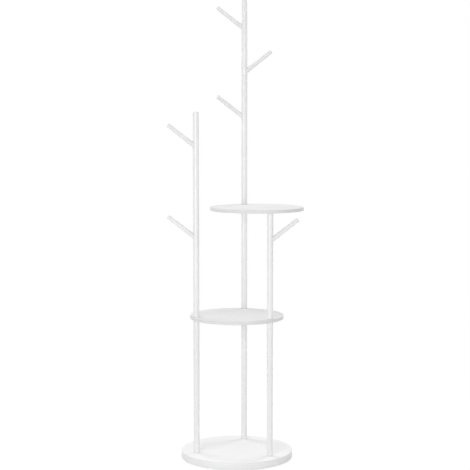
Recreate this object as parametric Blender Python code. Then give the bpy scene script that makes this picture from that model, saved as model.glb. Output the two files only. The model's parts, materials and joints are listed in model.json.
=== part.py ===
"""Hall tree: three round boards carried on three turned wooden posts, with six coat pegs.

Metres, +Z up. The origin is on the floor under the middle of the base board. +X points to the
right and -Y to the front. Every post is a stack of turned pieces: each board is clamped between
two of them by a threaded stud, and the pegs are screwed into sockets bored at the pegs' slope.
"""

import math

import bmesh
import bpy
from mathutils import Vector

# Clearances
SEAT_GAP = 0.0003  # between two pieces that touch on the real object
HOLE_CLEARANCE = 0.0005  # round a stud or bolt where it passes through a board

# Boards
SHELF_DIAMETER = 0.340
SHELF_THICKNESS = 0.012
BASE_OVERHANG = 0.033  # how far the base reaches past the shelves
BASE_THICKNESS = 0.026
BOARD_EDGE_RADIUS = 0.001

# Posts
POST_DIAMETER = 0.022
POST_INSET = 0.015  # from a shelf's rim in to a post's axis
TALL_POST_ANGLE = math.radians(79.6)  # where the tall post stands, turned from +X towards the back
POST_CHAMFER = 0.0004
POST_DOME = 0.0035  # rise of the rounded free end
LOWER_POST_LENGTH = 0.485  # base board to middle shelf
MIDDLE_POST_LENGTH = 0.379  # middle shelf to upper shelf
TALL_TOP_LENGTH = 0.755  # upper shelf to the tall post's free end
LEFT_TOP_LENGTH = 0.736  # middle shelf to the left post's free end

# Pegs
PEG_SLOPE = math.radians(38)  # above the horizontal
PEG_REACH = 0.127  # along the peg, from the post's axis to the tip
PEG_ROOT_DIAMETER = 0.016
PEG_TIP_DIAMETER = 0.0148
PEG_TIP_RADIUS = 0.0018
PEG_ROOT_CHAMFER = 0.0005
PEG_SEAT_DEPTH = 0.0015  # least depth of the socket's floor under the post's surface
TALL_PEG_DROP = 0.1085  # from the tall post's free end down to its first peg
TALL_UPPER_PITCH = 0.159  # from there down to the tall post's second peg
TALL_LOWER_PITCH = 0.166  # and on to its third
LEFT_PEG_DROP = 0.125  # from the left post's free end down to its first peg
LEFT_PEG_PITCH = 0.327  # from there down to the left post's second peg
RIGHT_PEG_DROP = 0.101  # from the right post's upper end down to its peg

# Threaded hardware in the post ends
STUD_DIAMETER = 0.008
STUD_CHAMFER = 0.0008
INSERT_DIAMETER = 0.012
INSERT_LENGTH = 0.020
THREAD_ENGAGEMENT = 0.018
SHELF_INSERT_LENGTH = 0.009  # blind nut let into the upper shelf's underside
SHELF_ENGAGEMENT = 0.008

# Bolts under the base
BOLT_HEAD_DIAMETER = 0.016
BOLT_HEAD_HEIGHT = 0.0046
BOLT_HEAD_CROWN = 0.0022
WASHER_DIAMETER = 0.020
WASHER_THICKNESS = 0.0016
COUNTERBORE_CLEARANCE = 0.002
COUNTERBORE_SPARE = 0.0015  # from the bolt head down to the base's underside

# Peg hardware
PEG_BOLT_DIAMETER = 0.006
PEG_BOLT_GRIP = 0.032  # length screwed into the peg
PEG_BOLT_POINT = 0.007
PEG_INSERT_DIAMETER = 0.009
PEG_INSERT_LENGTH = 0.010
PEG_ENGAGEMENT = 0.009

# Floor pads
PAD_DIAMETER = 0.030
PAD_THICKNESS = 0.002
PAD_INSET = 0.033  # from the base's rim in to a pad's centre
PAD_COUNT = 6

# Facets round each kind of turned piece
BOARD_STEPS = 72
POST_STEPS = 24
PEG_STEPS = 20
PAD_STEPS = 20
HARDWARE_STEPS = 12
ARC_STEPS = 2

# Heights of the stack, from the floor up
BASE_BOTTOM = PAD_THICKNESS + SEAT_GAP
BASE_TOP = BASE_BOTTOM + BASE_THICKNESS
LOWER_FOOT = BASE_TOP + SEAT_GAP
LOWER_HEAD = LOWER_FOOT + LOWER_POST_LENGTH
MIDDLE_SHELF_BOTTOM = LOWER_HEAD + SEAT_GAP
MIDDLE_SHELF_TOP = MIDDLE_SHELF_BOTTOM + SHELF_THICKNESS
MIDDLE_FOOT = MIDDLE_SHELF_TOP + SEAT_GAP
MIDDLE_HEAD = MIDDLE_FOOT + MIDDLE_POST_LENGTH
UPPER_SHELF_BOTTOM = MIDDLE_HEAD + SEAT_GAP
UPPER_SHELF_TOP = UPPER_SHELF_BOTTOM + SHELF_THICKNESS
TOP_FOOT = UPPER_SHELF_TOP + SEAT_GAP
TALL_TOP = TOP_FOOT + TALL_TOP_LENGTH
LEFT_TOP = MIDDLE_FOOT + LEFT_TOP_LENGTH

# Radii and depths that follow from the sizes above
SHELF_RADIUS = SHELF_DIAMETER / 2
BASE_RADIUS = SHELF_RADIUS + BASE_OVERHANG
POST_RADIUS = POST_DIAMETER / 2
POST_CIRCLE = SHELF_RADIUS - POST_INSET
STUD_RADIUS = STUD_DIAMETER / 2
INSERT_RADIUS = INSERT_DIAMETER / 2
INSERT_BORE = STUD_RADIUS + SEAT_GAP
END_BORE = INSERT_RADIUS + SEAT_GAP
END_BORE_DEPTH = INSERT_LENGTH + SEAT_GAP
BOARD_HOLE = STUD_RADIUS + HOLE_CLEARANCE
SOCKET_RADIUS = PEG_ROOT_DIAMETER / 2 + SEAT_GAP
PEG_INSERT_BORE = PEG_BOLT_DIAMETER / 2 + SEAT_GAP
SOCKET_PILOT = PEG_INSERT_DIAMETER / 2 + SEAT_GAP
COUNTERBORE = WASHER_DIAMETER / 2 + COUNTERBORE_CLEARANCE
COUNTERBORE_DEPTH = BOLT_HEAD_HEIGHT + WASHER_THICKNESS + 2 * SEAT_GAP + COUNTERBORE_SPARE
PAD_CIRCLE = BASE_RADIUS - PAD_INSET

# Distances along a peg, from the post's axis outwards
SOCKET_FLOOR = (POST_RADIUS - SOCKET_RADIUS * math.sin(PEG_SLOPE)) / math.cos(PEG_SLOPE) - PEG_SEAT_DEPTH
SOCKET_MOUTH = (POST_RADIUS + SOCKET_RADIUS) / math.cos(PEG_SLOPE) + SOCKET_RADIUS
PEG_ROOT = SOCKET_FLOOR + SEAT_GAP
PEG_INSERT_INNER = SOCKET_FLOOR - PEG_INSERT_LENGTH


def around(radius, angle):
    """Point on a circle about the Z axis, in plan."""
    return Vector((radius * math.cos(angle), radius * math.sin(angle), 0.0))


THIRD_TURN = math.radians(120)
TALL_POST = around(POST_CIRCLE, TALL_POST_ANGLE)
LEFT_POST = around(POST_CIRCLE, TALL_POST_ANGLE + THIRD_TURN)
RIGHT_POST = around(POST_CIRCLE, TALL_POST_ANGLE + 2 * THIRD_TURN)
UPPER_SHELF_CENTRE = (TALL_POST + RIGHT_POST) / 2


def clear_scene():
    """Remove every object, so that the script can be run again."""
    for obj in list(bpy.data.objects):
        bpy.data.objects.remove(obj, do_unlink=True)


def make_material(name, colour, roughness, metallic=0.0):
    """Principled material with a linear colour."""
    material = bpy.data.materials.new(name)
    material.use_nodes = True
    shader = material.node_tree.nodes["Principled BSDF"]
    shader.inputs["Base Color"].default_value = (*colour, 1.0)
    shader.inputs["Roughness"].default_value = roughness
    shader.inputs["Metallic"].default_value = metallic
    material.diffuse_color = (*colour, 1.0)
    return material


def arc(centre, radius, start, end, steps=ARC_STEPS):
    """Points of a profile's arc, as (radius, height), from one angle to another in degrees."""
    points = []
    for step in range(steps + 1):
        angle = math.radians(start + (end - start) * step / steps)
        points.append((centre[0] + radius * math.cos(angle), centre[1] + radius * math.sin(angle)))
    return points


def turned_mesh(name, profile, steps, closed=False):
    """Mesh of a profile of (radius, height) points turned about the Z axis.

    An open profile starts and ends on the axis. A closed one makes a ring.
    """
    shape = bmesh.new()
    verts = [shape.verts.new((radius, 0.0, height)) for radius, height in profile]
    pairs = list(zip(verts, verts[1:]))
    if closed:
        pairs.append((verts[-1], verts[0]))
    edges = [shape.edges.new(pair) for pair in pairs]
    bmesh.ops.spin(
        shape, geom=verts + edges, cent=(0, 0, 0), axis=(0, 0, 1), angle=math.tau, steps=steps, use_merge=True
    )
    bmesh.ops.remove_doubles(shape, verts=shape.verts[:], dist=0.000001)
    bmesh.ops.recalc_face_normals(shape, faces=shape.faces[:])
    mesh = bpy.data.meshes.new(name)
    shape.to_mesh(mesh)
    shape.free()
    mesh.shade_smooth()
    mesh.set_sharp_from_angle(angle=math.radians(35))
    return mesh


def add_object(name, mesh, place, parent, material=None, tilt=0.0):
    """Object with a mesh, standing at a place, with its axis tilted from +Z towards +X."""
    obj = bpy.data.objects.new(name, mesh)
    bpy.context.scene.collection.objects.link(obj)
    obj.location = place
    obj.rotation_euler = (0.0, tilt, 0.0)
    obj.parent = parent
    if material:
        mesh.materials.append(material)
    return obj


def cut(target, name, profile, place, parent, steps, tilt=0.0):
    """Cut a turned shape out of a target, with a Boolean that stays live."""
    cutter = add_object(name, turned_mesh(name, profile, steps), place, parent, tilt=tilt)
    cutter.hide_render = True
    cutter.display_type = "WIRE"
    boolean = target.modifiers.new(name, "BOOLEAN")
    boolean.operation = "DIFFERENCE"
    boolean.solver = "EXACT"
    boolean.object = cutter


def at_height(plan, height):
    """The point above a place in plan."""
    return Vector((plan.x, plan.y, height))


def drill_profile(radius, bottom, top):
    """Profile of a plain round cutter."""
    return [(0.0, top), (radius, top), (radius, bottom), (0.0, bottom)]


def board_profile(radius, thickness):
    """Profile of a round board with softened rims, its underside at zero."""
    rounding = BOARD_EDGE_RADIUS
    side = radius - rounding
    return [
        (0.0, thickness),
        *arc((side, thickness - rounding), rounding, 90, 0),
        *arc((side, rounding), rounding, 0, -90),
        (0.0, 0.0),
    ]


def post_profile(length, domed):
    """Profile of a post piece: a bored and chamfered foot, and a head that is bored or rounded."""
    outer, chamfer = POST_RADIUS, POST_CHAMFER
    if domed:
        head = []
        for step in range(2 * ARC_STEPS + 1):
            angle = math.radians(90 - 90 * step / (2 * ARC_STEPS))
            head.append((outer * math.cos(angle), length - POST_DOME + POST_DOME * math.sin(angle)))
        head[0] = (0.0, length)
    else:
        head = [
            (0.0, length - END_BORE_DEPTH),
            (END_BORE, length - END_BORE_DEPTH),
            (END_BORE, length),
            (outer - chamfer, length),
            (outer, length - chamfer),
        ]
    foot = [
        (outer, chamfer),
        (outer - chamfer, 0.0),
        (END_BORE, 0.0),
        (END_BORE, END_BORE_DEPTH),
        (0.0, END_BORE_DEPTH),
    ]
    return head + foot


def sleeve_profile(inner, outer, bottom, top):
    """Closed profile of a plain sleeve or washer."""
    return [(outer, top), (outer, bottom), (inner, bottom), (inner, top)]


def stud_profile(bottom, top):
    """Profile of a threaded stud's body with chamfered ends."""
    tip = STUD_RADIUS - STUD_CHAMFER
    return [
        (0.0, top),
        (tip, top),
        (STUD_RADIUS, top - STUD_CHAMFER),
        (STUD_RADIUS, bottom + STUD_CHAMFER),
        (tip, bottom),
        (0.0, bottom),
    ]


def bolt_profile():
    """Profile of a base bolt, its head's seat at zero, with a crowned head below it."""
    shank_top = BASE_THICKNESS - COUNTERBORE_DEPTH + WASHER_THICKNESS + 2 * SEAT_GAP + THREAD_ENGAGEMENT
    head = BOLT_HEAD_DIAMETER / 2
    rim = BOLT_HEAD_CROWN - BOLT_HEAD_HEIGHT
    crown = []
    for step in range(ARC_STEPS + 1):
        angle = math.radians(90 * step / ARC_STEPS)
        crown.append((head * math.cos(angle), rim - BOLT_HEAD_CROWN * math.sin(angle)))
    crown[-1] = (0.0, -BOLT_HEAD_HEIGHT)
    return [
        (0.0, shank_top),
        (STUD_RADIUS - STUD_CHAMFER, shank_top),
        (STUD_RADIUS, shank_top - STUD_CHAMFER),
        (STUD_RADIUS, 0.0),
        (head, 0.0),
        *crown,
    ]


def socket_profile():
    """Profile of the stepped cutter that bores a peg's socket and the hole for its nut."""
    inner = PEG_INSERT_INNER - SEAT_GAP
    return [
        (0.0, SOCKET_MOUTH),
        (SOCKET_RADIUS, SOCKET_MOUTH),
        (SOCKET_RADIUS, SOCKET_FLOOR),
        (SOCKET_PILOT, SOCKET_FLOOR),
        (SOCKET_PILOT, inner),
        (0.0, inner),
    ]


def peg_profile():
    """Profile of a peg: eased tip, slight taper, parallel root and a bore for its bolt."""
    tip = PEG_TIP_DIAMETER / 2
    root = PEG_ROOT_DIAMETER / 2
    eased = PEG_TIP_RADIUS
    bore_end = PEG_ROOT + PEG_BOLT_GRIP + SEAT_GAP
    return [
        (0.0, PEG_REACH),
        *arc((tip - eased, PEG_REACH - eased), eased, 90, 0),
        (root, SOCKET_MOUTH),
        (root, PEG_ROOT + PEG_ROOT_CHAMFER),
        (root - PEG_ROOT_CHAMFER, PEG_ROOT),
        (PEG_INSERT_BORE, PEG_ROOT),
        (PEG_INSERT_BORE, bore_end),
        (0.0, bore_end),
    ]


def peg_bolt_profile():
    """Profile of a peg's double-ended bolt: pointed in the peg, blunt in the post."""
    radius = PEG_BOLT_DIAMETER / 2
    point = PEG_ROOT + PEG_BOLT_GRIP
    blunt = SOCKET_FLOOR - PEG_ENGAGEMENT
    return [
        (0.0, point),
        (radius, point - PEG_BOLT_POINT),
        (radius, blunt + STUD_CHAMFER),
        (radius - STUD_CHAMFER, blunt),
        (0.0, blunt),
    ]


def build_boards(parent, lacquer):
    """The base and the two shelves, drilled for the posts' studs and bolts."""
    base_mesh = turned_mesh("base_board", board_profile(BASE_RADIUS, BASE_THICKNESS), BOARD_STEPS)
    base = add_object("base_board", base_mesh, (0, 0, BASE_BOTTOM), parent, lacquer)
    counterbored = [
        (0.0, 2 * BASE_THICKNESS),
        (BOARD_HOLE, 2 * BASE_THICKNESS),
        (BOARD_HOLE, COUNTERBORE_DEPTH),
        (COUNTERBORE, COUNTERBORE_DEPTH),
        (COUNTERBORE, -BASE_THICKNESS),
        (0.0, -BASE_THICKNESS),
    ]
    shelf_profile = board_profile(SHELF_RADIUS, SHELF_THICKNESS)
    middle_mesh = turned_mesh("middle_shelf", shelf_profile, BOARD_STEPS)
    middle = add_object("middle_shelf", middle_mesh, (0, 0, MIDDLE_SHELF_BOTTOM), parent, lacquer)
    through = drill_profile(BOARD_HOLE, -SHELF_THICKNESS, 2 * SHELF_THICKNESS)
    for side, plan in (("tall", TALL_POST), ("left", LEFT_POST), ("right", RIGHT_POST)):
        cut(base, f"{side}_base_cutter", counterbored, at_height(plan, BASE_BOTTOM), parent, PEG_STEPS)
        place = at_height(plan, MIDDLE_SHELF_BOTTOM)
        cut(middle, f"{side}_middle_cutter", through, place, parent, HARDWARE_STEPS)

    upper_mesh = turned_mesh("upper_shelf", shelf_profile, BOARD_STEPS)
    place = at_height(UPPER_SHELF_CENTRE, UPPER_SHELF_BOTTOM)
    upper = add_object("upper_shelf", upper_mesh, place, parent, lacquer)
    place = at_height(TALL_POST, UPPER_SHELF_BOTTOM)
    cut(upper, "tall_upper_cutter", through, place, parent, HARDWARE_STEPS)
    blind = drill_profile(END_BORE, -SHELF_THICKNESS, SHELF_INSERT_LENGTH + SEAT_GAP)
    place = at_height(RIGHT_POST, UPPER_SHELF_BOTTOM)
    cut(upper, "right_upper_cutter", blind, place, parent, HARDWARE_STEPS)


def build_post(name, plan, foot, length, parent, lacquer, zinc, domed=False):
    """One post piece with the threaded inserts in its bored ends."""
    mesh = turned_mesh(name, post_profile(length, domed), POST_STEPS)
    post = add_object(name, mesh, at_height(plan, foot), parent, lacquer)
    sleeve = sleeve_profile(INSERT_BORE, INSERT_RADIUS, 0.0, INSERT_LENGTH)
    ends = {"foot": foot}
    if not domed:
        ends["head"] = foot + length - INSERT_LENGTH
    for end, height in ends.items():
        insert = f"{name}_{end}_insert"
        insert_mesh = turned_mesh(insert, sleeve, HARDWARE_STEPS, closed=True)
        add_object(insert, insert_mesh, at_height(plan, height), parent, zinc)
    return post


def build_base_bolt(side, plan, parent, zinc):
    """Bolt and washer that hold a post down on the base, let into the underside."""
    washer_top = BASE_BOTTOM + COUNTERBORE_DEPTH - SEAT_GAP
    washer_bottom = washer_top - WASHER_THICKNESS
    ring = sleeve_profile(BOARD_HOLE, WASHER_DIAMETER / 2, 0.0, WASHER_THICKNESS)
    washer = f"{side}_base_washer"
    washer_mesh = turned_mesh(washer, ring, PEG_STEPS, closed=True)
    add_object(washer, washer_mesh, at_height(plan, washer_bottom), parent, zinc)
    bolt = f"{side}_base_bolt"
    bolt_mesh = turned_mesh(bolt, bolt_profile(), PEG_STEPS)
    add_object(bolt, bolt_mesh, at_height(plan, washer_bottom - SEAT_GAP), parent, zinc)


def build_stud(name, plan, bottom, top, parent, zinc):
    """Threaded stud between two heights on a post's axis."""
    mesh = turned_mesh(name, stud_profile(0.0, top - bottom), HARDWARE_STEPS)
    add_object(name, mesh, at_height(plan, bottom), parent, zinc)


def build_shelf_joints(parent, zinc):
    """Studs that clamp the shelves between the post pieces, and the upper shelf's blind nut."""
    for side, plan in (("tall", TALL_POST), ("left", LEFT_POST), ("right", RIGHT_POST)):
        bottom = LOWER_HEAD - THREAD_ENGAGEMENT
        top = MIDDLE_FOOT + THREAD_ENGAGEMENT
        build_stud(f"{side}_middle_shelf_stud", plan, bottom, top, parent, zinc)
    bottom = MIDDLE_HEAD - THREAD_ENGAGEMENT
    build_stud("tall_upper_shelf_stud", TALL_POST, bottom, TOP_FOOT + THREAD_ENGAGEMENT, parent, zinc)
    top = UPPER_SHELF_BOTTOM + SHELF_ENGAGEMENT
    build_stud("right_upper_shelf_stud", RIGHT_POST, bottom, top, parent, zinc)
    sleeve = sleeve_profile(INSERT_BORE, INSERT_RADIUS, 0.0, SHELF_INSERT_LENGTH)
    mesh = turned_mesh("upper_shelf_insert", sleeve, HARDWARE_STEPS, closed=True)
    add_object("upper_shelf_insert", mesh, at_height(RIGHT_POST, UPPER_SHELF_BOTTOM), parent, zinc)


def build_peg(name, post, crossing, side, parent, lacquer, zinc):
    """One peg with its socket in the post, its bolt and the nut the bolt screws into.

    crossing is where the peg's axis meets the post's axis. side is 1 for right, -1 for left.
    """
    tilt = side * (math.pi / 2 - PEG_SLOPE)
    cut(post, f"{name}_socket_cutter", socket_profile(), crossing, parent, PEG_STEPS, tilt)
    add_object(name, turned_mesh(name, peg_profile(), PEG_STEPS), crossing, parent, lacquer, tilt)
    bolt_mesh = turned_mesh(f"{name}_bolt", peg_bolt_profile(), HARDWARE_STEPS)
    add_object(f"{name}_bolt", bolt_mesh, crossing, parent, zinc, tilt)
    ring = sleeve_profile(PEG_INSERT_BORE, PEG_INSERT_DIAMETER / 2, PEG_INSERT_INNER, SOCKET_FLOOR)
    insert_mesh = turned_mesh(f"{name}_insert", ring, HARDWARE_STEPS, closed=True)
    add_object(f"{name}_insert", insert_mesh, crossing, parent, zinc, tilt)


def build_pads(parent, felt):
    """Round felt pads under the base, set between the posts' bolts."""
    profile = drill_profile(PAD_DIAMETER / 2, 0.0, PAD_THICKNESS)
    first = TALL_POST_ANGLE + math.pi / PAD_COUNT
    for index in range(PAD_COUNT):
        name = f"foot_pad_{index + 1}"
        plan = around(PAD_CIRCLE, first + index * math.tau / PAD_COUNT)
        add_object(name, turned_mesh(name, profile, PAD_STEPS), plan, parent, felt)


def main():
    """Build the whole hall tree under one empty."""
    clear_scene()
    hall_tree = bpy.data.objects.new("hall_tree", None)
    bpy.context.scene.collection.objects.link(hall_tree)
    board_lacquer = make_material("white_lacquered_board", (0.84, 0.84, 0.83), 0.38)
    wood_lacquer = make_material("white_lacquered_wood", (0.83, 0.83, 0.82), 0.42)
    zinc = make_material("zinc_plated_steel", (0.58, 0.58, 0.57), 0.35, 1.0)
    felt = make_material("grey_felt", (0.35, 0.35, 0.34), 0.95)

    build_boards(hall_tree, board_lacquer)
    for side, plan in (("tall", TALL_POST), ("left", LEFT_POST), ("right", RIGHT_POST)):
        build_post(f"{side}_post_lower", plan, LOWER_FOOT, LOWER_POST_LENGTH, hall_tree, wood_lacquer, zinc)
        build_base_bolt(side, plan, hall_tree, zinc)
    build_post("tall_post_middle", TALL_POST, MIDDLE_FOOT, MIDDLE_POST_LENGTH, hall_tree, wood_lacquer, zinc)
    right = build_post(
        "right_post_upper", RIGHT_POST, MIDDLE_FOOT, MIDDLE_POST_LENGTH, hall_tree, wood_lacquer, zinc
    )
    tall = build_post(
        "tall_post_upper", TALL_POST, TOP_FOOT, TALL_TOP_LENGTH, hall_tree, wood_lacquer, zinc, domed=True
    )
    left = build_post(
        "left_post_upper", LEFT_POST, MIDDLE_FOOT, LEFT_TOP_LENGTH, hall_tree, wood_lacquer, zinc, domed=True
    )
    build_shelf_joints(hall_tree, zinc)

    first_peg = TALL_TOP - TALL_PEG_DROP
    second_peg = first_peg - TALL_UPPER_PITCH
    left_peg = LEFT_TOP - LEFT_PEG_DROP
    right_peg = MIDDLE_HEAD - RIGHT_PEG_DROP
    pegs = (
        ("tall_peg_top", tall, TALL_POST, first_peg, -1),
        ("tall_peg_middle", tall, TALL_POST, second_peg, 1),
        ("tall_peg_bottom", tall, TALL_POST, second_peg - TALL_LOWER_PITCH, -1),
        ("left_peg_top", left, LEFT_POST, left_peg, -1),
        ("left_peg_bottom", left, LEFT_POST, left_peg - LEFT_PEG_PITCH, -1),
        ("right_peg", right, RIGHT_POST, right_peg, 1),
    )
    for name, post, plan, height, side in pegs:
        build_peg(name, post, at_height(plan, height), side, hall_tree, wood_lacquer, zinc)
    build_pads(hall_tree, felt)


main()
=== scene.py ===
"""Looks of the hall tree: sprayed boards, turned posts and pegs, and the hardware that joins them.

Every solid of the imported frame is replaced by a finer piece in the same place. Lengths are in
metres, in the frame's own axes: +Z up, +X to the right, -Y to the front. Holes, bores and bolt
heads are given by their radii.
"""

from __future__ import annotations

import json
import logging
import math
from dataclasses import dataclass
from enum import Enum

import bmesh
import bpy
from mathutils import Matrix, Vector, noise

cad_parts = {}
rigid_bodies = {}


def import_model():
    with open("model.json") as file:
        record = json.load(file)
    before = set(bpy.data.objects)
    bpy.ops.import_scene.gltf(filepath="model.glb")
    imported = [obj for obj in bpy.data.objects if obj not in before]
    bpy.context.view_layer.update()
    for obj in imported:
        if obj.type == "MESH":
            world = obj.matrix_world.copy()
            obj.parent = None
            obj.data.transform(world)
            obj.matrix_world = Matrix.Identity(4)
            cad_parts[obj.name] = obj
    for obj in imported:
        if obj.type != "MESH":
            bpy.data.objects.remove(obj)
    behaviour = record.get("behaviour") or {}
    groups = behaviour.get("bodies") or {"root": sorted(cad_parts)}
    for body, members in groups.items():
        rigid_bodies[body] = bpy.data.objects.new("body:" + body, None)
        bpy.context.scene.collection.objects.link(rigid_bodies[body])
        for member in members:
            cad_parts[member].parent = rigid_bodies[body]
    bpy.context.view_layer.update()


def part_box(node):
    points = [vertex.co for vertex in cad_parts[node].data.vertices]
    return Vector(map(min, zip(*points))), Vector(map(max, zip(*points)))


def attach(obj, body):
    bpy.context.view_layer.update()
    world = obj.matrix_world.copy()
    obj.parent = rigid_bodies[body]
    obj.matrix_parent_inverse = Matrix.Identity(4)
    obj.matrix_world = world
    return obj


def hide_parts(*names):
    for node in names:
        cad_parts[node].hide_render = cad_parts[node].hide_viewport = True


LOG = logging.getLogger("hall_tree")
BODY = "root"
STACKED = ("tall_post_middle", "right_post_upper")  # post pieces with a board at both ends
DOMED = ("tall_post_upper", "left_post_upper")  # post pieces with a free, rounded top
NOISE_GAIN = 0.55  # strength of each finer octave of noise against the one before it
NOISE_RANGE = (0.3, 0.7)  # where most of a noise's values lie
MERGE = 0.000001  # points closer than this are one
SMOOTH = 30.0  # edges with a smaller angle in degrees are shaded smooth
PEG_SLOPE = math.radians(38)  # how steeply the pegs rise

Pair = tuple[float, float]
Profile = list[Pair]  # points of a turned shape's outline, as (radius, height)
Colour = tuple[float, float, float]
Triple = tuple[float, float, float]  # a place, or a density along each axis
Socket = bpy.types.NodeSocket
Material = bpy.types.Material
Piece = bpy.types.Object
Shape = bmesh.types.BMesh


class Post(Enum):
    """The three posts, by the name of the piece that stands on the base."""

    TALL = "tall_post_lower"
    LEFT = "left_post_lower"
    RIGHT = "right_post_lower"

    @property
    def side(self) -> str:
        """The word that starts the names of this post's pieces."""
        return self.value.split("_")[0]

    def axis(self) -> Vector:
        """The post's axis in plan."""
        low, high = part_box(self.value)
        return Vector(((low.x + high.x) / 2, (low.y + high.y) / 2, 0.0))


class Lean(Enum):
    """Which way a peg slopes up from its post."""

    LEFT = -1
    RIGHT = 1


class GrainRun(Enum):
    """How the wood's grain lies under the lacquer."""

    BOARD = "board"
    UPRIGHT = "upright"
    LEFT_PEG = "left_peg"
    RIGHT_PEG = "right_peg"


class NodeBench:
    """A material's node tree with short ways to add and link nodes."""

    def __init__(self, name: str) -> None:
        """Start a new material.

        Args:
            name: The material's name.
        """
        self.material = bpy.data.materials.new(name)
        self.material.use_nodes = True
        self.tree = self.material.node_tree
        self.shader = self.tree.nodes["Principled BSDF"]
        self.output = self.tree.nodes["Material Output"]

    def add(self, kind: str, **settings: object) -> bpy.types.Node:
        """Add a node.

        Args:
            kind: The node's type name.
            settings: Attributes to set on the node.

        Returns:
            The new node.
        """
        node = self.tree.nodes.new(kind)
        for key, value in settings.items():
            setattr(node, key, value)
        return node

    def link(self, source: Socket, target: Socket) -> None:
        """Link two sockets."""
        self.tree.links.new(source, target)

    def place(self, turn: float = 0.0) -> Socket:
        """Object coordinates, turned about Y so that a sloping piece lies along Z.

        Args:
            turn: The piece's tilt from +Z towards +X, in radians.

        Returns:
            The socket with the turned coordinates.
        """
        coordinates = self.add("ShaderNodeTexCoord")
        mapping = self.add("ShaderNodeMapping", vector_type="POINT")
        mapping.inputs["Rotation"].default_value = (0.0, -turn, 0.0)
        self.link(coordinates.outputs["Object"], mapping.inputs["Vector"])
        return mapping.outputs["Vector"]

    def noise(self, place: Socket, density: Triple, detail: float) -> Socket:
        """Noise with its own density along each axis.

        Args:
            place: The coordinates to read.
            density: Waves per metre along X, Y and Z.
            detail: Octaves of finer noise.

        Returns:
            The socket with the noise value.
        """
        stretch = self.add("ShaderNodeVectorMath", operation="MULTIPLY")
        stretch.inputs[1].default_value = density
        self.link(place, stretch.inputs[0])
        texture = self.add("ShaderNodeTexNoise")
        texture.inputs["Scale"].default_value = 1.0
        texture.inputs["Detail"].default_value = detail
        texture.inputs["Roughness"].default_value = NOISE_GAIN
        self.link(stretch.outputs["Vector"], texture.inputs["Vector"])
        return texture.outputs["Fac"]

    def spread(
        self, value: Socket, low: float, high: float, span: Pair = NOISE_RANGE, **settings: object
    ) -> Socket:
        """Map a range of values, such as a noise's middle range, onto another range.

        Args:
            value: The value to map.
            low: Result where the value is lowest.
            high: Result where the value is highest.
            span: Lowest and highest value.
            settings: Attributes to set on the node.

        Returns:
            The socket with the mapped value.
        """
        ramp = self.add("ShaderNodeMapRange", **settings)
        ramp.inputs["From Min"].default_value = span[0]
        ramp.inputs["From Max"].default_value = span[1]
        ramp.inputs["To Min"].default_value = low
        ramp.inputs["To Max"].default_value = high
        self.link(value, ramp.inputs["Value"])
        return ramp.outputs["Result"]

    def blend(self, value: Socket, first: Colour, second: Colour) -> Socket:
        """Mix two colours by a value.

        Args:
            value: The share of the second colour.
            first: Colour at zero.
            second: Colour at one.

        Returns:
            The socket with the mixed colour.
        """
        mix = self.add("ShaderNodeMix", data_type="RGBA")
        ends = [socket for socket in mix.inputs if socket.type == "RGBA"]
        for socket, colour in zip(ends, (first, second)):
            socket.default_value = (*colour, 1.0)
        self.link(value, mix.inputs["Factor"])
        return next(socket for socket in mix.outputs if socket.type == "RGBA")

    def bump(self, height: Socket, depth: float, strength: float, under: Socket | None = None) -> Socket:
        """Add a bump layer.

        Args:
            height: The height to read.
            depth: Full depth of the bump in metres.
            strength: How much of it shows.
            under: Normal of the layer below, if there is one.

        Returns:
            The socket with the bumped normal.
        """
        node = self.add("ShaderNodeBump")
        node.inputs["Distance"].default_value = depth
        node.inputs["Strength"].default_value = strength
        self.link(height, node.inputs["Height"])
        if under is not None:
            self.link(under, node.inputs["Normal"])
        return node.outputs["Normal"]


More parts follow.
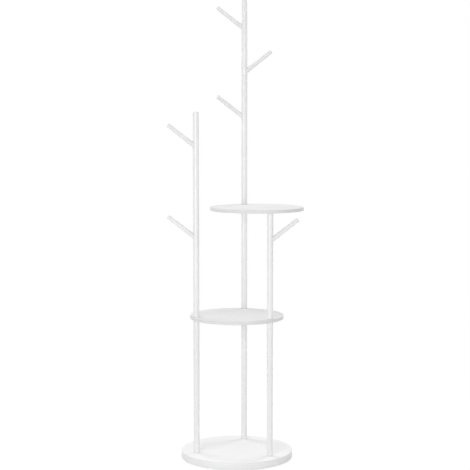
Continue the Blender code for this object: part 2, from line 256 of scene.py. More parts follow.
@dataclass(frozen=True)
class LacquerFinish:
    """White satin lacquer, sprayed on fibreboard or on turned wood."""

    name: str
    run: GrainRun
    bright: float  # the white's two grey levels, between which it is uneven
    shaded: float
    matt_low: float = 0.44
    matt_high: float = 0.54
    gloss: float = 0.22
    warmth: float = 0.001  # how much less blue the lower level has
    grain_across: float = 620.0
    grain_along: float = 11.0
    grain_depth: float = 0.00012
    grain_octaves: float = 3.0
    grain_show: float = 0.28  # share of the grain's depth left under the lacquer
    grain_tint: float = 0.35  # share of the grain in the colour's unevenness
    spray_density: float = 850.0
    spray_depth: float = 0.00004
    spray_octaves: float = 2.0
    spray_show: float = 0.25
    peel: float = 3.0  # how much coarser the boards' orange peel is than the spray
    cloud_density: float = 7.0
    cloud_octaves: float = 3.0

    def tilt(self) -> float:
        """How far the grain leans from +Z towards +X."""
        leaning = math.pi / 2 - PEG_SLOPE
        return {GrainRun.LEFT_PEG: -leaning, GrainRun.RIGHT_PEG: leaning}.get(self.run, 0.0)

    def grain_density(self) -> Triple:
        """Density of the grain under the lacquer, or of the orange peel on a board.

        Returns:
            Waves per metre along each axis of the piece.
        """
        if self.run is GrainRun.BOARD:
            return (self.spray_density / self.peel,) * 3
        return (self.grain_across, self.grain_across, self.grain_along)

    def material(self) -> Material:
        """Build the material.

        Returns:
            The lacquer material.
        """
        bench = NodeBench(self.name)
        place = bench.place(self.tilt())
        cloud = bench.noise(place, (self.cloud_density,) * 3, self.cloud_octaves)
        grain = bench.noise(place, self.grain_density(), self.grain_octaves)
        spray = bench.noise(place, (self.spray_density,) * 3, self.spray_octaves)
        mottle = bench.add("ShaderNodeMath", operation="MULTIPLY_ADD")
        mottle.inputs[1].default_value = self.grain_tint
        bench.link(bench.spread(grain, 0.0, 1.0), mottle.inputs[0])
        bench.link(bench.spread(cloud, 0.0, 1.0 - self.grain_tint), mottle.inputs[2])
        shade = (self.shaded, self.shaded, self.shaded - self.warmth)
        tone = bench.blend(mottle.outputs["Value"], (self.bright,) * 3, shade)
        bench.link(tone, bench.shader.inputs["Base Color"])
        bench.link(bench.spread(cloud, self.matt_low, self.matt_high), bench.shader.inputs["Roughness"])
        under = bench.bump(grain, self.grain_depth, self.grain_show)
        skin = bench.bump(spray, self.spray_depth, self.spray_show, under)
        bench.link(skin, bench.shader.inputs["Normal"])
        bench.shader.inputs["Specular IOR Level"].default_value = self.gloss
        return bench.material


@dataclass(frozen=True)
class ZincFinish:
    """Zinc plating on steel hardware, clear or yellowish."""

    name: str
    bright: Colour
    dull: Colour
    roughness_low: float = 0.24
    roughness_high: float = 0.42
    crystal_density: float = 900.0
    crystal_octaves: float = 2.0
    crystal_depth: float = 0.00002
    crystal_show: float = 0.3
    stain_density: float = 160.0
    stain_octaves: float = 4.0

    def material(self) -> Material:
        """Build the material.

        Returns:
            The plated steel material.
        """
        bench = NodeBench(self.name)
        place = bench.place()
        stain = bench.noise(place, (self.stain_density,) * 3, self.stain_octaves)
        crystal = bench.noise(place, (self.crystal_density,) * 3, self.crystal_octaves)
        tone = bench.blend(bench.spread(stain, 0.0, 1.0), self.bright, self.dull)
        bench.link(tone, bench.shader.inputs["Base Color"])
        rough = bench.spread(crystal, self.roughness_low, self.roughness_high)
        bench.link(rough, bench.shader.inputs["Roughness"])
        skin = bench.bump(crystal, self.crystal_depth, self.crystal_show)
        bench.link(skin, bench.shader.inputs["Normal"])
        bench.shader.inputs["Metallic"].default_value = 1.0
        return bench.material


@dataclass(frozen=True)
class FeltFinish:
    """Pressed grey felt with loose fibres."""

    name: str = "pressed_felt"
    light: Colour = (0.42, 0.41, 0.40)
    dark: Colour = (0.26, 0.26, 0.255)
    fibre_density: float = 1500.0
    fibre_octaves: float = 5.0
    fibre_low: float = 0.1  # share of the light colour left between the fibres
    fibre_depth: float = 0.0002
    fibre_show: float = 0.6
    clump_density: float = 260.0
    clump_octaves: float = 3.0
    clump_low: float = 0.5
    clump_depth: float = 0.0004
    clump_show: float = 0.5
    roughness: float = 0.95
    sheen: float = 0.35
    sheen_roughness: float = 0.5

    def material(self) -> Material:
        """Build the material.

        Returns:
            The felt material.
        """
        bench = NodeBench(self.name)
        place = bench.place()
        fibre = bench.noise(place, (self.fibre_density,) * 3, self.fibre_octaves)
        clump = bench.noise(place, (self.clump_density,) * 3, self.clump_octaves)
        heather = bench.add("ShaderNodeMath", operation="MULTIPLY")
        bench.link(bench.spread(fibre, self.fibre_low, 1.0), heather.inputs[0])
        bench.link(bench.spread(clump, self.clump_low, 1.0), heather.inputs[1])
        tone = bench.blend(heather.outputs["Value"], self.dark, self.light)
        bench.link(tone, bench.shader.inputs["Base Color"])
        under = bench.bump(clump, self.clump_depth, self.clump_show)
        skin = bench.bump(fibre, self.fibre_depth, self.fibre_show, under)
        bench.link(skin, bench.shader.inputs["Normal"])
        bench.shader.inputs["Roughness"].default_value = self.roughness
        bench.shader.inputs["Sheen Weight"].default_value = self.sheen
        bench.shader.inputs["Sheen Roughness"].default_value = self.sheen_roughness
        return bench.material


def arc(
    centre: Pair, radius: float, start: float, end: float, steps: int, rise: float | None = None
) -> Profile:
    """Points of a profile's arc, round or flattened.

    Args:
        centre: Centre as (radius, height).
        radius: The arc's own radius.
        start: First angle in degrees, from outwards to upwards.
        end: Last angle in degrees.
        steps: Chords along the arc.
        rise: Height of a flattened arc's quarter, below zero if it hangs. A round one's is its radius.

    Returns:
        The points, both ends included.
    """
    rise = radius if rise is None else rise
    angles = [math.radians(start + (end - start) * step / steps) for step in range(steps + 1)]
    return [(centre[0] + radius * math.cos(a), centre[1] + rise * math.sin(a)) for a in angles]


def run_between(radius: float, start: float, end: float, steps: int) -> Profile:
    """Points straight along a cylinder's side.

    Args:
        radius: The side's radius.
        start: Height of the first point.
        end: Height of the last point.
        steps: Parts to cut the stretch into.

    Returns:
        The points, both ends included.
    """
    return [(radius, start + (end - start) * step / steps) for step in range(steps + 1)]


def turn(profile: Profile, steps: int, ring: bool = False) -> Shape:
    """Turn a profile about the Z axis into a closed shape.

    Args:
        profile: The outline. A solid's first and last points lie on the axis.
        steps: Facets round the axis.
        ring: Whether the profile closes on itself and makes a sleeve.

    Returns:
        The turned shape.
    """
    shape = bmesh.new()
    verts = [shape.verts.new((radius, 0.0, height)) for radius, height in profile]
    pairs = list(zip(verts, verts[1:]))
    if ring:
        pairs.append((verts[-1], verts[0]))
    edges = [shape.edges.new(pair) for pair in pairs]
    bmesh.ops.spin(
        shape, geom=verts + edges, cent=(0, 0, 0), axis=(0, 0, 1), angle=math.tau, steps=steps, use_merge=True
    )
    bmesh.ops.remove_doubles(shape, verts=shape.verts[:], dist=MERGE)
    bmesh.ops.recalc_face_normals(shape, faces=shape.faces[:])
    return shape


def make_piece(name: str, shape: Shape, place: Matrix, crease: float = SMOOTH) -> Piece:
    """Turn a shape into an object whose place is in its mesh.

    Args:
        name: The piece's name.
        shape: The shape, which is freed.
        place: Where the shape goes.
        crease: Angle in degrees past which an edge is drawn sharp.

    Returns:
        The new object, at the origin.
    """
    bmesh.ops.transform(shape, matrix=place, verts=shape.verts[:])
    mesh = bpy.data.meshes.new(name)
    shape.to_mesh(mesh)
    shape.free()
    mesh.shade_smooth()
    mesh.set_sharp_from_angle(angle=math.radians(crease))
    piece = bpy.data.objects.new(name, mesh)
    bpy.context.scene.collection.objects.link(piece)
    return piece


def carve(piece: Piece, tool: Piece, crease: float = SMOOTH) -> None:
    """Cut a tool's shape out of a piece and throw the tool away.

    Args:
        piece: The piece to cut.
        tool: The closed shape to take away.
        crease: Angle in degrees past which an edge is drawn sharp.
    """
    cut = piece.modifiers.new("cut", "BOOLEAN")
    cut.operation = "DIFFERENCE"
    cut.solver = "EXACT"
    cut.object = tool
    bpy.context.view_layer.update()
    graph = bpy.context.evaluated_depsgraph_get()
    mesh = bpy.data.meshes.new_from_object(piece.evaluated_get(graph))
    piece.modifiers.remove(cut)
    spare = piece.data
    mesh.name = piece.name
    piece.data = mesh
    bpy.data.meshes.remove(spare)
    tool_mesh = tool.data
    bpy.data.objects.remove(tool)
    bpy.data.meshes.remove(tool_mesh)
    mesh.shade_smooth()
    mesh.set_sharp_from_angle(angle=math.radians(crease))


def dress(piece: Piece, node: str, material: Material) -> None:
    """Give a piece its finish and let it stand for a node of the frame.

    Args:
        piece: The finished mesh.
        node: The node that it replaces.
        material: The finish.
    """
    piece.data.materials.clear()
    piece.data.materials.append(material)
    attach(piece, BODY)
    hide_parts(node)
    LOG.info("%s stands for %s", piece.name, node)


def upright(node: str) -> Matrix:
    """Place on a node's own vertical axis, at its foot."""
    low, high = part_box(node)
    return Matrix.Translation(((low.x + high.x) / 2, (low.y + high.y) / 2, low.z))


def height_of(node: str) -> float:
    """A node's height."""
    low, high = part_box(node)
    return high.z - low.z


def radius_of(node: str) -> float:
    """Radius of a node that stands upright and round."""
    low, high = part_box(node)
    return (high.y - low.y) / 2


@dataclass(frozen=True)
class ThreadForm:
    """A thread's pitch and depth, cut into a turned wall by moving its rings."""

    pitch: float
    depth: float
    crest: float = 0.25  # share of the pitch that stays at full radius
    band: float = 0.00002  # how near the wall's radius a point lies that is cut

    def rings(self, length: float, per_turn: int = 5) -> int:
        """How many rings a length of this thread needs."""
        return max(1, round(length / self.pitch * per_turn))

    def drop(self, turns: float) -> float:
        """Depth of the groove at a point along the helix.

        Args:
            turns: Distance along the axis, in pitches, less the share of a turn round it.

        Returns:
            How far the wall drops below the crest.
        """
        share = turns % 1.0
        if share < self.crest:
            return 0.0
        sunk = (share - self.crest) / (1.0 - self.crest)
        return self.depth * (1.0 - abs(2.0 * sunk - 1.0))

    def cut(self, shape: Shape, wall: float, start: float, end: float) -> None:
        """Cut the thread into every ring of a wall.

        Args:
            shape: The turned shape, still on the Z axis.
            wall: Radius of the wall to cut.
            start: Lowest height of the thread.
            end: Highest height of the thread.
        """
        for vert in shape.verts:
            across = math.hypot(vert.co.x, vert.co.y)
            if abs(across - wall) > self.band or not start < vert.co.z < end:
                continue
            turns = vert.co.z / self.pitch - math.atan2(vert.co.y, vert.co.x) / math.tau
            fade = min(1.0, (vert.co.z - start) / self.pitch, (end - vert.co.z) / self.pitch)
            sunk = (across - self.drop(turns) * fade) / across
            vert.co.x *= sunk
            vert.co.y *= sunk


@dataclass
class Boards:
    """The base and the two shelves."""

    rim: float = 0.001
    hold: float = 0.0008  # width of the ring that keeps the faces flat up to the rim
    steps: int = 160
    rim_steps: int = 6
    hole_steps: int = 40
    stud_hole: float = 0.0045
    counterbore: float = 0.012
    counterbore_depth: float = 0.0083
    blind_bore: float = 0.0063
    blind_depth: float = 0.0093
    edge_slope: float = 0.95  # faces whose normal rises less than this take the edge's finish, rims included, so the rims carry painted shade over their highlight

    def profile(self, radius: float, thickness: float) -> Profile:
        """Profile of a round board with softened rims.

        Args:
            radius: The board's radius.
            thickness: The board's thickness.

        Returns:
            The profile, from the middle of the top to the middle of the underside.
        """
        side = radius - self.rim
        return [
            (0.0, thickness),
            (side - self.hold, thickness),
            *arc((side, thickness - self.rim), self.rim, 90, 0, self.rim_steps),
            *arc((side, self.rim), self.rim, 0, -90, self.rim_steps),
            (side - self.hold, 0.0),
            (0.0, 0.0),
        ]

    def drill(self, board: Piece, place: Vector, profile: Profile) -> None:
        """Drill a turned hole into a board.

        Args:
            board: The board.
            place: The hole's axis at the board's underside.
            profile: The drill's profile.
        """
        tool = make_piece("drill", turn(profile, self.hole_steps), Matrix.Translation(place))
        carve(board, tool)

    def stepped_drill(self, thickness: float) -> Profile:
        """Drill for a base bolt: a through hole with a counterbore from below.

        Args:
            thickness: The board's thickness.

        Returns:
            The drill's profile.
        """
        return [
            (0.0, 2 * thickness),
            (self.stud_hole, 2 * thickness),
            (self.stud_hole, self.counterbore_depth),
            (self.counterbore, self.counterbore_depth),
            (self.counterbore, -thickness),
            (0.0, -thickness),
        ]

    def plain_drill(self, radius: float, low: float, high: float) -> Profile:
        """Drill for a straight hole between two heights."""
        return [(0.0, high), (radius, high), (radius, low), (0.0, low)]

    def finish_edges_with_painted_shade(self, board: Piece, edge: Material) -> None:
        """Give a board's edge, its rims and the walls of its holes the edge's darker finish: a duller lacquer
        with painted shade, which also takes the highlight off the rims.

        Args:
            board: The dressed board.
            edge: The edge's finish, with its painted shade.
        """
        board.data.materials.append(edge)
        for face in board.data.polygons:
            if abs(face.normal.z) < self.edge_slope:
                face.material_index = 1

    def build(self, finishes: dict[str, tuple[Material, Material]]) -> None:
        """Make and dress the three boards.

        Args:
            finishes: The finishes of each board's flat faces and of its edge, by node, with their painted
                light and shade.
        """
        for node, (face, edge) in finishes.items():
            low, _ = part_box(node)
            thickness = height_of(node)
            shape = turn(self.profile(radius_of(node), thickness), self.steps)
            board = make_piece(f"sprayed_{node}", shape, upright(node))
            for post in Post:
                if node == "upper_shelf" and post is Post.LEFT:
                    continue
                profile = self.plain_drill(self.stud_hole, -thickness, 2 * thickness)
                if node == "base_board":
                    profile = self.stepped_drill(thickness)
                elif node == "upper_shelf" and post is Post.RIGHT:
                    profile = self.plain_drill(self.blind_bore, -thickness, self.blind_depth)
                self.drill(board, post.axis() + Vector((0.0, 0.0, low.z)), profile)
            dress(board, node, face)
            self.finish_edges_with_painted_shade(board, edge)


@dataclass
class PegJoint:
    """Where a peg meets its post, and the sizes of the peg and its socket."""

    node: str
    post_node: str
    lean: Lean
    slope: float = PEG_SLOPE
    reach: float = 0.127
    root_radius: float = 0.008
    tip_radius: float = 0.0074
    tip_ease: float = 0.0018
    tip_crown: float = 0.0004
    tip_arc: float = 86.0  # degrees of the tip's rounding, which runs out into the crown
    tip_steps: int = 7
    tip_run: float = 0.002  # nearly straight stretch behind the tip's rounding
    tip_swell: float = 0.00002  # how much thicker the peg is at that stretch's end
    taper_share: float = 0.25  # share of the reach that stays at the root's full radius
    mouth_share: float = 1 / 3  # share of the reach at which the socket's cutter ends, clear of the post
    root_chamfer: float = 0.0005
    gap: float = 0.0003
    bolt_bore: float = 0.0033
    bolt_bore_depth: float = 0.0323
    pilot: float = 0.0048
    steps: int = 64

    def tilt(self) -> float:
        """The peg's tilt from +Z towards +X."""
        return self.lean.value * (math.pi / 2 - self.slope)

    def insert_span(self) -> tuple[Vector, float]:
        """Where the peg's threaded insert lies.

        Returns:
            The insert's middle, and its length along the peg.
        """
        low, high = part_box(f"{self.node}_insert")
        width = (high.y - low.y) * math.sin(self.slope)
        return (low + high) / 2, (high.x - low.x - width) / math.cos(self.slope)

    def crossing(self) -> Vector:
        """Where the peg's axis meets the post's axis.

        Returns:
            The point on the post's axis.
        """
        low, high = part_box(self.post_node)
        middle, _ = self.insert_span()
        axis_x, axis_y = (low.x + high.x) / 2, (low.y + high.y) / 2
        out = (middle.x - axis_x) * self.lean.value
        return Vector((axis_x, axis_y, middle.z - out * math.tan(self.slope)))

    def floor(self) -> float:
        """How deep the socket's floor lies in the post.

        Returns:
            Distance along the peg from the post's axis to the floor.
        """
        middle, length = self.insert_span()
        out = (middle.x - self.crossing().x) * self.lean.value
        return out / math.cos(self.slope) + length / 2

    def place(self) -> Matrix:
        """Place with the peg's axis along Z, from the crossing outwards."""
        return Matrix.Translation(self.crossing()) @ Matrix.Rotation(self.tilt(), 4, "Y")

    def socket_tool(self) -> Piece:
        """Stepped cutter for the socket and the hole behind it.

        Returns:
            The cutter, in its place in the post.
        """
        _, length = self.insert_span()
        floor, mouth = self.floor(), self.reach * self.mouth_share
        radius = self.root_radius + self.gap
        inner = floor - length - self.gap
        profile = [
            (0.0, mouth),
            (radius, mouth),
            (radius, floor),
            (self.pilot, floor),
            (self.pilot, inner),
            (0.0, inner),
        ]
        return make_piece("socket_tool", turn(profile, self.steps), self.place())

    def profile(self) -> Profile:
        """Profile of the turned peg.

        Returns:
            The points from the crowned tip to the bored root.
        """
        root, chamfer = self.floor() + self.gap, self.root_chamfer
        tip, ease = self.tip_radius, self.tip_ease
        shoulder = self.reach - self.tip_crown - ease
        return [
            (0.0, self.reach),
            ((tip - ease) / 2, self.reach - self.tip_crown / 4),
            *arc((tip - ease, shoulder), ease, self.tip_arc, 0, self.tip_steps),
            (tip + self.tip_swell, shoulder - self.tip_run),
            (self.root_radius, self.reach * self.taper_share),
            (self.root_radius, root + 3 * chamfer),
            (self.root_radius, root + chamfer),
            (self.root_radius - chamfer, root),
            (self.bolt_bore, root),
            (self.bolt_bore, root + self.bolt_bore_depth),
            (0.0, root + self.bolt_bore_depth),
        ]

    def build(self, lacquer: Material) -> None:
        """Make and dress the peg."""
        peg = make_piece(f"turned_{self.node}", turn(self.profile(), self.steps), self.place())
        dress(peg, self.node, lacquer)


PEGS = (
    PegJoint("tall_peg_top", "tall_post_upper", Lean.LEFT),
    PegJoint("tall_peg_middle", "tall_post_upper", Lean.RIGHT),
    PegJoint("tall_peg_bottom", "tall_post_upper", Lean.LEFT),
    PegJoint("left_peg_top", "left_post_upper", Lean.LEFT),
    PegJoint("left_peg_bottom", "left_post_upper", Lean.LEFT),
    PegJoint("right_peg", "right_post_upper", Lean.RIGHT),
)


@dataclass
class Posts:
    """The seven turned post pieces."""

    ease: float = 0.0004
    ease_steps: int = 4
    dome: float = 0.0035
    bore: float = 0.0063
    bore_depth: float = 0.0203
    hold: float = 0.0015
    steps: int = 72
    dome_steps: int = 12
    ring_spacing: float = 0.030

    def head(self, radius: float, length: float, domed: bool) -> Profile:
        """Upper end of a post piece's profile.

        Args:
            radius: The post's radius.
            length: The piece's length.
            domed: Whether the end is free and rounded, or bored for an insert.

        Returns:
            The points from the axis out to the side.
        """
        if domed:
            dome = arc((0.0, length - self.dome), radius, 90, 0, self.dome_steps, self.dome)
            return [(0.0, length), *dome[1:], (radius, length - self.dome - self.hold)]
        floor = length - self.bore_depth
        return [
            (0.0, floor),
            (self.bore, floor),
            (self.bore, length),
            *arc((radius - self.ease, length - self.ease), self.ease, 90, 0, self.ease_steps),
            (radius, length - self.ease - self.hold),
        ]

    def foot(self, radius: float) -> Profile:
        """Lower end of a post piece's profile.

        Args:
            radius: The post's radius.

        Returns:
            The points from the side in to the axis.
        """
        return [
            (radius, self.ease + self.hold),
            *arc((radius - self.ease, self.ease), self.ease, 0, -90, self.ease_steps),
            (self.bore, 0.0),
            (self.bore, self.bore_depth),
            (0.0, self.bore_depth),
        ]

    def build(self, lacquer: Material) -> None:
        """Make and dress every post piece.

        Args:
            lacquer: The posts' finish.
        """
        for node in [*(post.value for post in Post), *STACKED, *DOMED]:
            radius, length = radius_of(node), height_of(node)
            head = self.head(radius, length, node in DOMED)
            foot = self.foot(radius)
            rings = max(2, round(length / self.ring_spacing))
            side = run_between(radius, head[-1][1], foot[0][1], rings)[1:-1]
            post = make_piece(f"turned_{node}", turn(head + side + foot, self.steps), upright(node))
            for peg in PEGS:
                if peg.post_node == node:
                    carve(post, peg.socket_tool())
            dress(post, node, lacquer)


@dataclass
class Hardware:
    """Studs, bolts, washers and threaded inserts."""

    stud_thread: ThreadForm = ThreadForm(pitch=0.00125, depth=0.0006)
    insert_thread: ThreadForm = ThreadForm(pitch=0.0026, depth=0.0006, crest=0.35)
    peg_bolt_thread: ThreadForm = ThreadForm(pitch=0.0010, depth=0.0005)
    wood_thread: ThreadForm = ThreadForm(pitch=0.0026, depth=0.0009, crest=0.15)
    stud_radius: float = 0.004
    peg_bolt_radius: float = 0.003
    chamfer: float = 0.0008
    clearance: float = 0.0003
    bolt_head: float = 0.008
    bolt_head_height: float = 0.0046
    bolt_head_crown: float = 0.0022
    crown_steps: int = 6
    bolt_plain: float = 0.012  # shank without thread under a base bolt's head
    edge: float = 0.0004
    edge_steps: int = 3
    washer_play: float = 0.0005
    washer_edge: float = 0.0003
    hex_across: float = 0.005
    hex_depth: float = 0.0028
    hex_turn: float = math.radians(7.5)  # keeps the socket's corners off the lines between the head's facets
    peg_bolt_grip: float = 0.009  # length of a peg bolt's machine thread
    peg_bolt_plain: float = 0.004  # shank without thread in the peg's root
    wood_rings: int = 6
    point: float = 0.007
    point_slim: float = 0.25  # share of the radius just behind a peg bolt's point
    point_drop: float = 0.3  # how far behind it, as a share of the point's length
    thread_crease: float = 50.0  # degrees past which a threaded piece's edges are drawn sharp
    head_crease: float = 40.0
    steps: int = 24

    def finish(self, node: str, shape: Shape, place: Matrix, zinc: Material) -> None:
        """Set a threaded piece in its place and dress it."""
        dress(make_piece(f"threaded_{node}", shape, place, self.thread_crease), node, zinc)

    def build_stud(self, node: str, zinc: Material) -> None:
        """Make and dress a stud threaded from end to end.

        Args:
            node: The stud's node.
            zinc: Its finish.
        """
        length, radius, chamfer = height_of(node), self.stud_radius, self.chamfer
        profile = [
            (0.0, length),
            (radius - chamfer, length),
            *run_between(radius, length - chamfer, chamfer, self.stud_thread.rings(length)),
            (radius - chamfer, 0.0),
            (0.0, 0.0),
        ]
        shape = turn(profile, self.steps)
        self.stud_thread.cut(shape, radius, chamfer / 2, length - chamfer / 2)
        self.finish(node, shape, upright(node), zinc)

    def build_base_bolt(self, node: str, zinc: Material) -> None:
        """Make and dress a base bolt with a crowned hexagon-socket head.

        Args:
            node: The bolt's node.
            zinc: Its finish.
        """
        length, head, crown = height_of(node), self.bolt_head, self.bolt_head_crown
        seat, edge = self.bolt_head_height, self.edge
        radius, chamfer = self.stud_radius, self.chamfer
        plain = seat + self.bolt_plain
        rings = self.stud_thread.rings(length - plain)
        profile = [
            (0.0, length),
            (radius - chamfer, length),
            *run_between(radius, length - chamfer, plain, rings),
            (radius, seat + edge),
            (radius + edge, seat),
            *arc((head - edge, seat - edge), edge, 90, 0, self.edge_steps),
            *arc((0.0, crown), head, 0, 90, self.crown_steps, -crown)[:-1],
            (0.0, 0.0),
        ]
        shape = turn(profile, self.steps)
        self.stud_thread.cut(shape, radius, plain, length - chamfer / 2)
        bolt = make_piece(f"threaded_{node}", shape, upright(node), self.head_crease)
        hexagon = bmesh.new()
        corner = self.hex_across / math.sqrt(3)
        bmesh.ops.create_cone(
            hexagon, cap_ends=True, segments=6, radius1=corner, radius2=corner, depth=2 * self.hex_depth
        )
        place = upright(node) @ Matrix.Rotation(self.hex_turn, 4, "Z")
        carve(bolt, make_piece("hexagon_tool", hexagon, place), self.head_crease)
        dress(bolt, node, zinc)

    def build_washer(self, node: str, zinc: Material) -> None:
        """Make and dress a washer with eased edges.

        Args:
            node: The washer's node.
            zinc: Its finish.
        """
        outer, thick = radius_of(node), height_of(node)
        inner, edge, steps = self.stud_radius + self.washer_play, self.washer_edge, self.edge_steps
        profile = [
            *arc((outer - edge, thick - edge), edge, 90, 0, steps),
            *arc((outer - edge, edge), edge, 0, -90, steps),
            *arc((inner + edge, edge), edge, -90, -180, steps),
            *arc((inner + edge, thick - edge), edge, 180, 90, steps),
        ]
        shape = turn(profile, 2 * self.steps, ring=True)
        dress(make_piece(f"pressed_{node}", shape, upright(node)), node, zinc)

    def insert_shape(self, outer: float, inner: float, length: float) -> Shape:
        """A sleeve with a coarse thread outside and a chamfered bore.

        Args:
            outer: Radius over the thread's crests.
            inner: Radius of the bore.
            length: The sleeve's length.

        Returns:
            The shape, standing on Z from zero.
        """
        edge = self.edge
        rings = self.insert_thread.rings(length)
        profile = [
            (outer - edge, length),
            *run_between(outer, length - edge, edge, rings),
            (outer - edge, 0.0),
            (inner + edge, 0.0),
            (inner, edge),
            (inner, length - edge),
            (inner + edge, length),
        ]
        shape = turn(profile, self.steps, ring=True)
        self.insert_thread.cut(shape, outer, edge / 2, length - edge / 2)
        return shape

    def build_insert(self, node: str, zinc: Material) -> None:
        """Make and dress an insert in a post's end or in the upper shelf."""
        shape = self.insert_shape(radius_of(node), self.stud_radius + self.clearance, height_of(node))
        self.finish(node, shape, upright(node), zinc)

    def build_peg_insert(self, peg: PegJoint, zinc: Material) -> None:
        """Make and dress the insert that a peg's bolt screws into.

        Args:
            peg: The peg.
            zinc: The insert's finish.
        """
        node = f"{peg.node}_insert"
        _, length = peg.insert_span()
        shape = self.insert_shape(radius_of(node), self.peg_bolt_radius + self.clearance, length)
        place = peg.place() @ Matrix.Translation((0.0, 0.0, peg.floor() - length))
        self.finish(node, shape, place, zinc)

    def build_peg_bolt(self, peg: PegJoint, zinc: Material) -> None:
        """Make and dress a peg's bolt: machine thread in the post, wood thread in the peg.

        Args:
            peg: The peg.
            zinc: The bolt's finish.
        """
        node = f"{peg.node}_bolt"
        radius, chamfer = self.peg_bolt_radius, self.chamfer
        blunt, root = peg.floor() - self.peg_bolt_grip, peg.floor() + peg.gap
        tip = root + (peg.bolt_bore_depth - peg.gap)
        shoulder = tip - self.point
        wood, machine = self.wood_thread, self.peg_bolt_thread
        plain = root + self.peg_bolt_plain
        profile = [
            (0.0, tip),
            (radius * self.point_slim, tip - self.point * self.point_drop),
            *run_between(radius, shoulder, plain, wood.rings(shoulder - plain, self.wood_rings)),
            *run_between(radius, root, blunt + chamfer, machine.rings(root - blunt - chamfer)),
            (radius - chamfer, blunt),
            (0.0, blunt),
        ]
        shape = turn(profile, self.steps)
        wood.cut(shape, radius, plain, shoulder + wood.pitch)
        machine.cut(shape, radius, blunt + chamfer / 2, root)
        self.finish(node, shape, peg.place(), zinc)

    def build(self, clear: Material, yellow: Material) -> None:
        """Make and dress all the hardware.

        Args:
            clear: Finish of studs, bolts and washers.
            yellow: Finish of the inserts.
        """
        for post in Post:
            self.build_stud(f"{post.side}_middle_shelf_stud", clear)
            self.build_base_bolt(f"{post.side}_base_bolt", clear)
            self.build_washer(f"{post.side}_base_washer", clear)
            self.build_insert(f"{post.value}_foot_insert", yellow)
            self.build_insert(f"{post.value}_head_insert", yellow)
        self.build_stud("tall_upper_shelf_stud", clear)
        self.build_stud("right_upper_shelf_stud", clear)
        for post_piece in STACKED:
            self.build_insert(f"{post_piece}_foot_insert", yellow)
            self.build_insert(f"{post_piece}_head_insert", yellow)
        for post_piece in DOMED:
            self.build_insert(f"{post_piece}_foot_insert", yellow)
        self.build_insert("upper_shelf_insert", yellow)
        for peg in PEGS:
            self.build_peg_insert(peg, yellow)
            self.build_peg_bolt(peg, clear)


@dataclass
class FloorPads:
    """Felt pads under the base, with slightly uneven cut edges."""

    count: int = 6
    steps: int = 72
    ease: float = 0.0005
    ease_steps: int = 3
    ring_shares: tuple[float, ...] = (0.3, 0.6, 0.85)  # rings on the flat faces, as shares of the radius
    uneven: float = 0.00012
    fibre_wave: float = 900.0

    def profile(self, radius: float, thickness: float) -> Profile:
        """Profile of a pad with eased edges.

        Args:
            radius: The pad's radius.
            thickness: The pad's thickness.

        Returns:
            The points from the middle of the top to the middle of the underside.
        """
        rings = [(radius * share, thickness) for share in self.ring_shares]
        lower = [(across, 0.0) for across, _ in reversed(rings)]
        return [
            (0.0, thickness),
            *rings,
            *arc((radius - self.ease, thickness - self.ease), self.ease, 90, 0, self.ease_steps),
            *arc((radius - self.ease, self.ease), self.ease, 0, -90, self.ease_steps),
            *lower,
            (0.0, 0.0),
        ]

    def rough_up(self, shape: Shape, radius: float) -> None:
        """Pull the cut edge in by a little, unevenly, as pressed felt has it.

        Args:
            shape: The turned pad, still on the Z axis.
            radius: The pad's radius.
        """
        for vert in shape.verts:
            across = math.hypot(vert.co.x, vert.co.y)
            if across < radius - 2 * self.ease:
                continue
            pull = self.uneven * (1.0 + noise.noise(vert.co * self.fibre_wave))
            vert.co.x *= 1.0 - pull / across
            vert.co.y *= 1.0 - pull / across

    def build(self, felt: Material) -> None:
        """Make and dress the pads.

        Args:
            felt: Their finish.
        """
        for index in range(self.count):
            node = f"foot_pad_{index + 1}"
            radius = radius_of(node)
            shape = turn(self.profile(radius, height_of(node)), self.steps)
            self.rough_up(shape, radius)
            dress(make_piece(f"pressed_{node}", shape, upright(node)), node, felt)


@dataclass(frozen=True)
class SoftPanel:
    """A square lamp with an even white face, turned towards the object."""

    name: str
    place: Triple
    side: float
    power: float
    aim: Triple = (0.0, 0.0, 0.85)

    def build(self) -> None:
        """Hang the lamp where the camera can't see it."""
        data = bpy.data.lights.new(self.name, "AREA")
        data.size = self.side
        data.energy = self.power
        lamp = bpy.data.objects.new(self.name, data)
        lamp.location = self.place
        lamp.rotation_mode = "QUATERNION"
        lamp.rotation_quaternion = (Vector(self.place) - Vector(self.aim)).to_track_quat("Z", "Y")
        lamp.visible_camera = False
        bpy.context.scene.collection.objects.link(lamp)


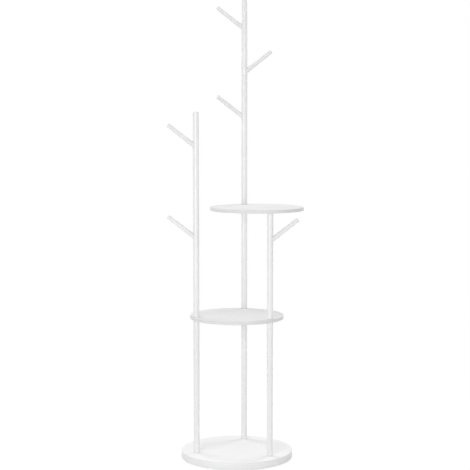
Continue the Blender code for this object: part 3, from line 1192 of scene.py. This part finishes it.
@dataclass
class Studio:
    """Floor, light and camera."""

    lamps: tuple[SoftPanel, ...] = (
        SoftPanel("key", (-1.0, -3.25, 1.0), 1.6, 49.5),
        SoftPanel("right_fill", (3.2, -1.2, 0.35), 1.6, 14.0),
        SoftPanel("rear_left", (-2.2, 2.0, 2.6), 1.6, 40.0),
        SoftPanel("rear_right", (2.2, 2.0, 2.6), 1.6, 40.0),
        SoftPanel("top", (0.0, -0.4, 3.5), 1.6, 12.0),
    )
    floor_radius: float = 60.0
    floor_steps: int = 64
    floor_drop: float = 0.0002  # keeps the floor clear of the pads that stand on it
    floor_tone: float = 0.80
    floor_seen: float = 0.30  # share of the floor's own light that the camera sees close to the object
    floor_lift: float = 0.80  # white added to that share
    fade_start: float = 0.35
    fade_end: float = 2.2
    ambient: float = 0.520
    lens: float = 103.958  # millimetres, as the sensor's width is
    sensor: float = 36.0
    distance: float = 4.8949
    height: float = 1.2781
    aside: float = -0.0067
    pitch: float = math.radians(5.379)
    sight: float = 200.0  # how far the camera sees

    def white_rays(self, tree: bpy.types.NodeTree) -> Socket:
        """One for rays that should see a white background: camera, glossy and see-through rays.

        Args:
            tree: The node tree to add to.

        Returns:
            The socket with the value.
        """
        path = tree.nodes.new("ShaderNodeLightPath")
        value = path.outputs["Is Camera Ray"]
        for name in ("Is Glossy Ray", "Is Transmission Ray"):
            either = tree.nodes.new("ShaderNodeMath")
            either.operation = "MAXIMUM"
            tree.links.new(value, either.inputs[0])
            tree.links.new(path.outputs[name], either.inputs[1])
            value = either.outputs["Value"]
        return value

    def fade(self, bench: NodeBench, near: float, far: float) -> Socket:
        """A value that changes smoothly with the distance from the object.

        Args:
            bench: The floor's material.
            near: Value close to the object.
            far: Value further out.

        Returns:
            The socket with the value.
        """
        reach = bench.add("ShaderNodeVectorMath", operation="LENGTH")
        bench.link(bench.place(), reach.inputs[0])
        span = (self.fade_start, self.fade_end)
        return bench.spread(reach.outputs["Value"], near, far, span, interpolation_type="SMOOTHSTEP")

    def build_floor(self) -> None:
        """A pale floor that keeps the object's shadow and fades to white further out."""
        shape = bmesh.new()
        bmesh.ops.create_circle(shape, cap_ends=True, segments=self.floor_steps, radius=self.floor_radius)
        floor = make_piece("studio_floor", shape, Matrix.Translation((0.0, 0.0, -self.floor_drop)))
        bench = NodeBench("studio_floor")
        bench.tree.nodes.remove(bench.shader)
        seen = self.white_rays(bench.tree)
        tone = bench.add("ShaderNodeMapRange")
        tone.inputs["To Min"].default_value = self.floor_tone
        bench.link(self.fade(bench, self.floor_tone * self.floor_seen, 0.0), tone.inputs["To Max"])
        bench.link(seen, tone.inputs["Value"])
        matt = bench.add("ShaderNodeBsdfDiffuse")
        bench.link(tone.outputs["Result"], matt.inputs["Color"])
        lift = bench.add("ShaderNodeMath", operation="MULTIPLY")
        bench.link(self.fade(bench, self.floor_lift, 1.0), lift.inputs[1])
        bench.link(seen, lift.inputs[0])
        glow = bench.add("ShaderNodeEmission")
        bench.link(lift.outputs["Value"], glow.inputs["Strength"])
        both = bench.add("ShaderNodeAddShader")
        bench.link(matt.outputs["BSDF"], both.inputs[0])
        bench.link(glow.outputs["Emission"], both.inputs[1])
        bench.link(both.outputs["Shader"], bench.output.inputs["Surface"])
        floor.data.materials.append(bench.material)

    def build_world(self) -> None:
        """White behind everything, and a plain grey level of light from all round."""
        world = bpy.data.worlds.new("studio_world")
        bpy.context.scene.world = world
        world.use_nodes = True
        tree = world.node_tree
        background = tree.nodes["Background"]
        background.inputs["Color"].default_value = (1.0, 1.0, 1.0, 1.0)
        level = tree.nodes.new("ShaderNodeMapRange")
        level.inputs["To Min"].default_value = self.ambient
        level.inputs["To Max"].default_value = 1.0
        tree.links.new(self.white_rays(tree), level.inputs["Value"])
        tree.links.new(level.outputs["Result"], background.inputs["Strength"])

    def build_camera(self) -> None:
        """Camera at the picture's own viewpoint, looking slightly down."""
        data = bpy.data.cameras.new("camera")
        data.lens = self.lens
        data.sensor_width = self.sensor
        data.clip_end = self.sight
        camera = bpy.data.objects.new("camera", data)
        camera.location = (self.aside, -self.distance, self.height)
        camera.rotation_euler = (math.pi / 2 - self.pitch, 0.0, 0.0)
        bpy.context.scene.collection.objects.link(camera)
        bpy.context.scene.camera = camera

    def build(self) -> None:
        """Set up the stage, the lamps and the camera."""
        bpy.context.scene.view_settings.view_transform = "Standard"
        self.build_floor()
        self.build_world()
        for lamp in self.lamps:
            lamp.build()
        self.build_camera()


def main() -> None:
    """Build every sub-assembly in order and report the pieces."""
    logging.basicConfig(level=logging.INFO, format="%(name)s: %(message)s")
    for leftover in list(bpy.data.objects):
        bpy.data.objects.remove(leftover)
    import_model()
    board, turned = GrainRun.BOARD, GrainRun.UPRIGHT
    shelf_lacquer = LacquerFinish("shelf_lacquer", board, 0.827, 0.793, 0.56, 0.66, gloss=0.08).material()
    # The base's faces have the shelves' white lacquer, painted lighter as painted light for the brighter
    # light on the base.
    base_lacquer_painted_light = LacquerFinish("base_lacquer_painted_light", board, 0.926, 0.893, 0.56, 0.66, gloss=0.08).material()
    # Each edge finish is darker than its board's faces: a duller edge lacquer together with painted shade.
    shelf_edge_painted_shade = LacquerFinish("shelf_edge_lacquer", board, 0.712, 0.680, 0.58, 0.70).material()
    # The base's edge is painted lighter than the shelves' edges as painted light in place of a fill lamp, and
    # darker than its own faces as painted shade.
    base_edge_painted_light = LacquerFinish("base_edge_lacquer", board, 0.810, 0.776, 0.58, 0.70, gloss=0.5).material()
    post_lacquer = LacquerFinish("post_lacquer", turned, 0.799, 0.765, 0.22, 0.30, gloss=0.5).material()
    peg_lacquers = {
        Lean.LEFT: LacquerFinish("left_peg_lacquer", GrainRun.LEFT_PEG, 0.780, 0.746).material(),
        Lean.RIGHT: LacquerFinish("right_peg_lacquer", GrainRun.RIGHT_PEG, 0.780, 0.746).material(),
    }
    clear_zinc = ZincFinish("clear_zinc", (0.66, 0.67, 0.69), (0.50, 0.51, 0.53)).material()
    yellow_zinc = ZincFinish("yellow_zinc", (0.66, 0.58, 0.38), (0.52, 0.45, 0.30)).material()
    finishes = {
        "base_board": (base_lacquer_painted_light, base_edge_painted_light),
        "middle_shelf": (shelf_lacquer, shelf_edge_painted_shade),
        "upper_shelf": (shelf_lacquer, shelf_edge_painted_shade),
    }
    Boards().build(finishes)
    Posts().build(post_lacquer)
    for peg in PEGS:
        peg.build(peg_lacquers[peg.lean])
    Hardware().build(clear_zinc, yellow_zinc)
    FloorPads().build(FeltFinish().material())
    Studio().build()


if __name__ == "__main__":
    main()
